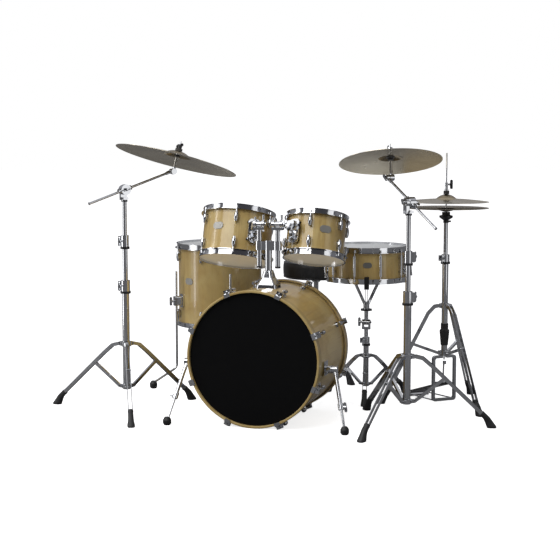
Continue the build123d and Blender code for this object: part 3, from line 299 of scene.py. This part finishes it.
paint = plain("black_paint", (0.016, 0.016, 0.017), 0.30, 0.08, 420.0, 0.16, **gloss)
nap = {"Sheen_Weight": 0.5, "Sheen_Roughness": 0.5}
felt = plain("dark_felt", (0.030, 0.029, 0.028), 0.92, 0.04, 1500.0, 0.9, **nap)
pale_felt = plain("pale_felt", (0.46, 0.44, 0.40), 0.92, 0.04, 1500.0, 0.9, **nap)
coated = film("coated_film", (0.80, 0.815, 0.82), 1.0, 0.42, 0.35)
# Painted light: the clear resonant film glows faintly in its own colour, standing in for light shining
# through the head.
clear = film("clear_film", (0.82, 0.75, 0.60), 0.80, 0.16, 0.03, 0.16)
black = (0.0042, 0.0042, 0.0044)
black_film = plain("black_film", black, 0.30, 0.02, 60.0, 0.02, 1.05, Specular_IOR_Level=0.12)
snare_film = film("snare_side_film", (0.70, 0.70, 0.68), 0.38, 0.14, 0.03)


# ---------------------------------------- painting of the CAD nodes
def tube_zone(foot, low, high, radius, inner=0.0):
    """True for a point within these heights and within radius of the upright line over foot."""

    def inside(point):
        gap = hypot(point[0] - foot[0], point[1] - foot[1])
        return low - 0.6 <= point[2] <= high + 0.6 and inner - 0.6 <= gap <= radius + 0.6

    return inside


def leaning_zone(crown, lean, low, high, radius=60.0, inner=-1.0):
    """The same about a leaning line through crown, with heights measured from crown."""
    axis = Vector(lean).normalized()

    def inside(point):
        gap = Vector(point) - Vector(crown)
        along = gap.dot(axis)
        off = (gap - axis * along).length
        return low - 0.3 <= along <= high + 0.3 and inner - 0.5 <= off <= radius + 0.6

    return inside


def dress(name, main, *others):
    """Gives a CAD node its main material, and other materials to the faces whose middle a test accepts."""
    mesh = nodes[name].data
    mesh.materials.clear()
    mesh.materials.append(main)
    for index, (finish, test) in enumerate(others, 1):
        mesh.materials.append(finish)
        for face in mesh.polygons:
            if test(millimetres(face.center)):
                face.material_index = index


def drum_axis(name):
    tilt = radians(drums[name][1])
    return Vector((0, sin(tilt), cos(tilt)))


def badge_zone(name):
    """The faces of a drum's badge."""
    centre, tilt, radius = drums[name]
    angle, rise = badges[name]
    axis = drum_axis(name)
    side = Vector((1, 0, 0))
    out = side * cos(radians(angle)) + axis.cross(side) * sin(radians(angle))
    middle = Vector(centre) + out * (radius + 1) + axis * rise

    def inside(point):
        return (Vector(point) - middle).length < 27

    return inside


for name in ["left_tom", "right_tom", "floor_tom", "snare", "bass"]:
    dress(f"{name}_shell", shell_wood[name])
    if name == "bass":
        continue
    centre = Vector(drums[name][0])
    axis = drum_axis(name)
    dress(f"{name}_hoops", chrome)
    resonant = snare_film if name == "snare" else clear
    dress(f"{name}_heads", coated, (resonant, lambda p, c=centre, a=axis: (Vector(p) - c).dot(a) < 0))
    dress(f"{name}_lugs", chrome, (badge_metal, badge_zone(name)))
dress("bass_hoops", hoop_wood)
dress("bass_front_head", black_film)
dress("bass_batter_head", coated)
dress("bass_lugs_and_claws", chrome)
dress("tom_holder", chrome)
for name in ["left", "right"]:
    centre, tilt, radius = drums[f"{name}_tom"]
    axis = drum_axis(f"{name}_tom")

    def gasket(point, c=Vector(centre), a=axis, r=radius):
        gap = Vector(point) - c
        return (gap - a * gap.dot(a)).length < r + 11

    dress(f"{name}_tom_mount", chrome, (rubber, gasket))
    dress(f"tom_arm_{name}", chrome, (nylon, lambda p: p[2] < 658.6))
    dress(f"bass_spur_{name}", chrome, (rubber, lambda p: p[2] < 37))
dress("floor_tom_legs", chrome, (rubber, lambda p: p[2] < 36.6))

for name, foot, drop, crown, lean, wing in [
    ("left", left_stand, 0, ride_centre, ride_lean, nylon),
    ("right", right_stand, 40, crash_centre, crash_lean, chrome),
]:
    ring = 521 - drop / 4
    dress(f"{name}_stand_legs", chrome, (nylon, tube_zone(foot, ring, ring + 10, 24)))
    dress(f"{name}_stand_middle", chrome, (nylon, tube_zone(foot, 717 - drop, 727 - drop, 21)))
    dress(f"{name}_stand_top", chrome, (nylon, tube_zone(foot, 924 - drop, 930 - drop, 15)))
    dress(f"{name}_boom_clamp", chrome)
    dress(f"{name}_boom", chrome)
    dress(
        f"{name}_cymbal_tilter",
        chrome,
        (felt, leaning_zone(crown, lean, -27.2, 10.4, 19.5, 9)),
        (wing, leaning_zone(crown, lean, 10.6, 35, 30, 4)),
    )
dress("ride_cymbal", bronze("ride_bronze", ride_centre, ride_lean, 275))
dress("crash_cymbal", bronze("crash_bronze", crash_centre, crash_lean, 219))
hat_bronze = bronze("hat_bronze", (666, 500, 951), (0, 0, 1), 190)
dress("hihat_top_cymbal", hat_bronze)
dress("hihat_bottom_cymbal", hat_bronze)

across = Vector((cos(radians(41)), sin(radians(41)), 0))
pedal_way = Vector((cos(radians(131)), sin(radians(131)), 0))


def pedal_loop(point):
    gap = Vector((point[0] - hihat_stand[0], point[1] - hihat_stand[1], 0))
    return abs(gap.dot(pedal_way)) < 8 and abs(gap.dot(across)) < 61 and point[2] < 227


dress(
    "hihat_stand_legs",
    chrome,
    (soft_chrome, pedal_loop),
    (nylon, tube_zone(hihat_stand, 640, 650, 22)),
    (rubber, tube_zone(hihat_stand, 273, 371, 23, 14.5)),
)
dress(
    "hihat_tube",
    chrome,
    (nylon, tube_zone(hihat_stand, 824, 859, 31)),
    (felt, tube_zone(hihat_stand, 859, 873, 19)),
)
dress(
    "hihat_rod",
    chrome,
    (felt, tube_zone(hihat_stand, 939, 967.2, 14, 5)),
    (nylon, tube_zone(hihat_stand, 970, 1020, 60, 15)),
)
dress("hihat_footboard", paint, (chrome, tube_zone(hihat_stand, 101.6, 230, 17.4)))
dress("snare_stand_legs", chrome, (nylon, tube_zone(snare_stand, 242, 252, 20)))
dress("snare_stand_tube", chrome)
dress(
    "snare_basket",
    chrome,
    (nylon, tube_zone(snare_stand, 406, 414, 27)),
    (rubber, lambda p: hypot(p[0] - snare_stand[0], p[1] - snare_stand[1]) > 171.5 and p[2] > 526),
)
dress("snare_lever", chrome)
dress("snare_wires", wire_steel)
dress("throne_legs", chrome)
dress("pedal_frame", soft_chrome)
dress("pedal_footboard", paint)
dress("pedal_beater", chrome, (pale_felt, lambda p: p[2] > 285))


# ---------------------------------------- meshes
def piece(name, rings, body, finish, closed=True, levels=1, caps=True):
    """A smooth surface through rings of points, all of one length, that rides on a body."""
    mesh = bmesh.new()
    made = [[mesh.verts.new(point) for point in ring] for ring in rings]
    count = len(rings[0])
    for first, second in zip(made, made[1:]):
        for k in range(count if closed else count - 1):
            after = (k + 1) % count
            mesh.faces.new((first[k], first[after], second[after], second[k]))
    if caps:
        mesh.faces.new(list(reversed(made[0])))
        mesh.faces.new(made[-1])
    bmesh.ops.recalc_face_normals(mesh, faces=mesh.faces)
    data = bpy.data.meshes.new(name)
    mesh.to_mesh(data)
    mesh.free()
    for face in data.polygons:
        face.use_smooth = True
    data.materials.append(finish)
    made = bpy.data.objects.new(name, data)
    bpy.context.scene.collection.objects.link(made)
    if levels:
        smooth = made.modifiers.new("smooth", "SUBSURF")
        smooth.levels = levels
        smooth.render_levels = levels
    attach(made, body)
    return made


def lathe(name, centre, profile, body, finish, count=72, levels=1, wobble=None):
    """A turned form about the upright line through centre, with radius and height in millimetres."""
    rings = []
    for radius, height in profile:
        ring = []
        for k in range(count):
            angle = 2 * pi * k / count
            reach = radius + (wobble(angle, radius, height) if wobble else 0)
            ring.append(place(centre[0] + reach * cos(angle), centre[1] + reach * sin(angle), height))
        rings.append(ring)
    return piece(name, rings, body, finish, levels=levels)


# ---------------------------------------- rubber feet of the stands
tripods = [
    (left_stand, (177, 297, 57), (322, 51), (0.728, -0.686), 354),
    (right_stand, (252, 12, 132), (322, 51), (0.728, -0.686), 354),
    (snare_stand, (162, 282, 42), (184, 51), (0.690, -0.723), 216),
    (hihat_stand, (194, 314, 74), (254, 51), (0.442, -0.897), 285),
    (throne, (-37.4, 82.6, 202.6), (258, 51), (0.664, -0.748), 290),
]


def boot(name, foot, azimuth, ankle, run, reach):
    """A moulded boot: a slim collar on the leg that swells to a flat sole."""
    back, front = Vector((reach - 37.5, 41)), Vector((reach - 13, 53))
    heel, toe = Vector((reach - 21.8, 5)), Vector((reach + 20.8, 5))
    out = Vector((cos(radians(azimuth)), sin(radians(azimuth)), 0))
    across = Vector((-out.y, out.x, 0))
    stations = [(0.14, 12.0, -0.9), (0.24, 12.0, -0.9)]
    stations += [(0.45, 12.6, -0.8), (0.65, 14.0, -0.6), (0.80, 15.3, -0.2), (0.90, 16.1, 0.0)]
    stations += [(1.0, 16.4, 0.0)]
    rings = []
    collar = [(-17, 11.2, 11.4), (-15.5, 12.2, 12.4), (-8, 12.4, 12.6), (-6, 11.4, 11.6), (0, 11.6, 11.8)]
    for along, wide, half in collar:
        middle = Vector(ankle) + Vector(run) * along
        side = Vector((-run[1], run[0])) * wide
        rings.append((middle - side, middle + side, half))
    for share, half, swell in stations:
        bulge = Vector((swell, 0))
        rings.append((back.lerp(heel, share) - bulge, front.lerp(toe, share) + bulge, half))
    rings.append((Vector((reach - 20.8, 1.2)), Vector((reach + 19.8, 1.2)), 16.0))
    rings.append((Vector((reach - 19, 0.1)), Vector((reach + 18, 0.1)), 14.6))
    points = []
    for near, far, half in rings:
        middle, spread_out = (near + far) / 2, (far - near) / 2
        ring = []
        for k in range(20):
            angle = 2 * pi * k / 20
            c, s = cos(angle), sin(angle)
            c, s = abs(c) ** 0.72 * (1 if c > 0 else -1), abs(s) ** 0.72 * (1 if s > 0 else -1)
            flat = middle + spread_out * c
            spot = Vector((foot[0], foot[1], 0)) + out * flat.x + across * half * s
            ring.append(place(spot.x, spot.y, max(flat.y, 0.1)))
        points.append(ring)
    return piece(name, points, "kit", rubber, levels=1)


for stand, (foot, azimuths, ankle, run, reach) in enumerate(tripods):
    for leg, azimuth in enumerate(azimuths):
        boot(f"boot_{stand}_{leg}", foot, azimuth, ankle, run, reach)
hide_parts("stand_feet")

# ---------------------------------------- throne seat
sheen = {"Coat_Weight": 0.15, "Coat_Roughness": 0.3}
vinyl = plain("black_vinyl", (0.012, 0.012, 0.013), 0.42, 0.07, 520.0, 0.45, **sheen)


def puckers(angle, radius, height):
    """Small gathers near the seams of the round seat."""
    near_seam = max(0.0, 1 - abs(height - 579) / 14) + max(0.0, 1 - abs(height - 513) / 12)
    if radius < 140:
        return 0.0
    return near_seam * (0.45 * sin(31 * angle) + 0.3 * sin(53 * angle + 1.3))


seat_profile = [(2, 501), (90, 501), (148, 501.5), (157, 504), (161.5, 509), (163.2, 515)]
seat_profile += [(164.8, 526), (165.6, 545), (165.4, 560), (164.2, 572), (161.8, 579), (159.6, 583)]
seat_profile += [(152, 588.5), (136, 592.8), (104, 596), (60, 595), (24, 593.4), (2, 593)]
cushion = lathe("throne_cushion", throne, seat_profile, "seat", vinyl, 120, 1, puckers)
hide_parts("throne_seat")
for level, height, radius in [("upper", 581, 161.2), ("lower", 510, 162.2)]:
    tube = []
    for k in range(10):
        turn = 2 * pi * k / 10
        tube.append((radius + 2.2 * cos(turn), height + 2.2 * sin(turn)))
    tube.append(tube[0])
    rings = []
    for reach, lift in tube:
        ring = []
        for k in range(120):
            angle = 2 * pi * k / 120
            out = reach + 0.25 * sin(60 * angle)
            ring.append(place(throne[0] + out * cos(angle), throne[1] + out * sin(angle), lift))
        rings.append(ring)
    piece(f"throne_piping_{level}", rings, "seat", vinyl, levels=0, caps=False)
post_profile = [(2, 190), (11, 190), (12.5, 192), (12.5, 478), (20, 482), (22, 486), (22, 494)]
post_profile += [(46, 497), (54, 498), (55, 500.8), (2, 500.8)]
lathe(
    "throne_post",
    throne,
    post_profile,
    "seat",
    chrome,
    48,
    0,
)

# ---------------------------------------- floor, lights and camera
def ground(name, tone, height, glow, seen_by_camera):
    """A round floor: the camera sees one, and metal and wood reflect the other, which is darker."""
    finish, tree, shader = material(name, Roughness=0.8, Specular_IOR_Level=0.1, Emission_Strength=glow)
    shader.inputs["Emission Color"].default_value = (1, 1, 1, 1)
    mottle = noise(tree, here(tree), 3.0, 4.0, 0.5)
    stops = [(0.3, (tone, tone, tone)), (0.7, (tone * 1.03, tone * 1.03, tone * 1.03))]
    tree.links.new(ramp(tree, mottle, stops), shader.inputs["Base Color"])
    disc = bmesh.new()
    bmesh.ops.create_circle(disc, cap_ends=True, segments=96, radius=40)
    mesh = bpy.data.meshes.new(name)
    disc.to_mesh(mesh)
    disc.free()
    mesh.materials.append(finish)
    made = bpy.data.objects.new(name, mesh)
    made.location.z = height
    bpy.context.scene.collection.objects.link(made)
    made.visible_camera = seen_by_camera
    made.visible_glossy = made.visible_diffuse = made.visible_transmission = not seen_by_camera
    return made


ground("studio_floor", 0.90, 0.0, 0.78, True)
ground("bounce_floor", 0.40, -0.002, 0.0, False)

view_azimuth = radians(17.66)
ahead = Vector((-sin(view_azimuth), cos(view_azimuth), 0))
world = bpy.data.worlds.new("studio")
world.use_nodes = True
bpy.context.scene.world = world
tree = world.node_tree
background = tree.nodes["Background"]
direction = node(tree, "ShaderNodeTexCoord").outputs["Generated"]
facing = vector_math(tree, "DOT_PRODUCT", direction, ahead).outputs["Value"]
lifted = node(tree, "ShaderNodeSeparateXYZ", inputs={0: direction}).outputs[2]
stops = [(0.0, (0.05, 0.05, 0.055)), (0.22, (0.08, 0.08, 0.09)), (0.45, (0.26, 0.26, 0.28))]
stops += [(0.8, (0.36, 0.36, 0.38))]
round_about = ramp(tree, maths(tree, "MULTIPLY_ADD", facing, 0.5, 0.5), stops)
above = ramp(tree, lifted, [(0.5, (0, 0, 0)), (0.9, (0.34, 0.34, 0.34))])
glow = blend(tree, 1.0, round_about, above, "ADD")
level = ramp(tree, lifted, [(0.08, (0.30, 0.30, 0.31)), (0.2, (1, 1, 1))])
glow = blend(tree, 1.0, glow, level, "MULTIPLY")
seen = node(tree, "ShaderNodeLightPath").outputs["Is Camera Ray"]
tree.links.new(blend(tree, seen, glow, (1.0, 1.0, 1.0)), background.inputs["Color"])
background.inputs["Strength"].default_value = 1.0


def softbox(name, spot, target, width, height, radiance):
    """A soft rectangular light at spot, turned to target, as bright as radiance to the eye."""
    lamp = bpy.data.lights.new(name, "AREA")
    lamp.shape = "RECTANGLE"
    lamp.size, lamp.size_y, lamp.energy = width, height, radiance * pi * width * height
    made = bpy.data.objects.new(name, lamp)
    made.location = spot
    made.rotation_euler = (Vector(target) - Vector(spot)).to_track_quat("-Z", "Y").to_euler()
    bpy.context.scene.collection.objects.link(made)


softbox("left_wall", (-3.1, -1.7, 1.1), (0, 0, 0.6), 1.5, 2.4, 1.3)
softbox("left_strip", (-2.7, -1.5, 1.1), (0, 0, 0.6), 0.34, 2.2, 4.5)
softbox("right_wall", (3.4, -1.6, 1.2), (0, 0, 0.6), 1.4, 2.2, 1.1)
softbox("front_key", (-1.1, -3.6, 3.9), (0, -0.2, 0.5), 3.6, 3.0, 4.2)

camera_data = bpy.data.cameras.new("camera")
camera_data.lens = 84.0
camera_data.sensor_width = 36.0
camera = bpy.data.objects.new("camera", camera_data)
camera.location = place(1727, -5274, 1213)
camera.rotation_euler = (radians(90 - 6.33), 0, view_azimuth)
bpy.context.scene.collection.objects.link(camera)
bpy.context.scene.camera = camera
bpy.context.scene.view_settings.view_transform = "Standard"
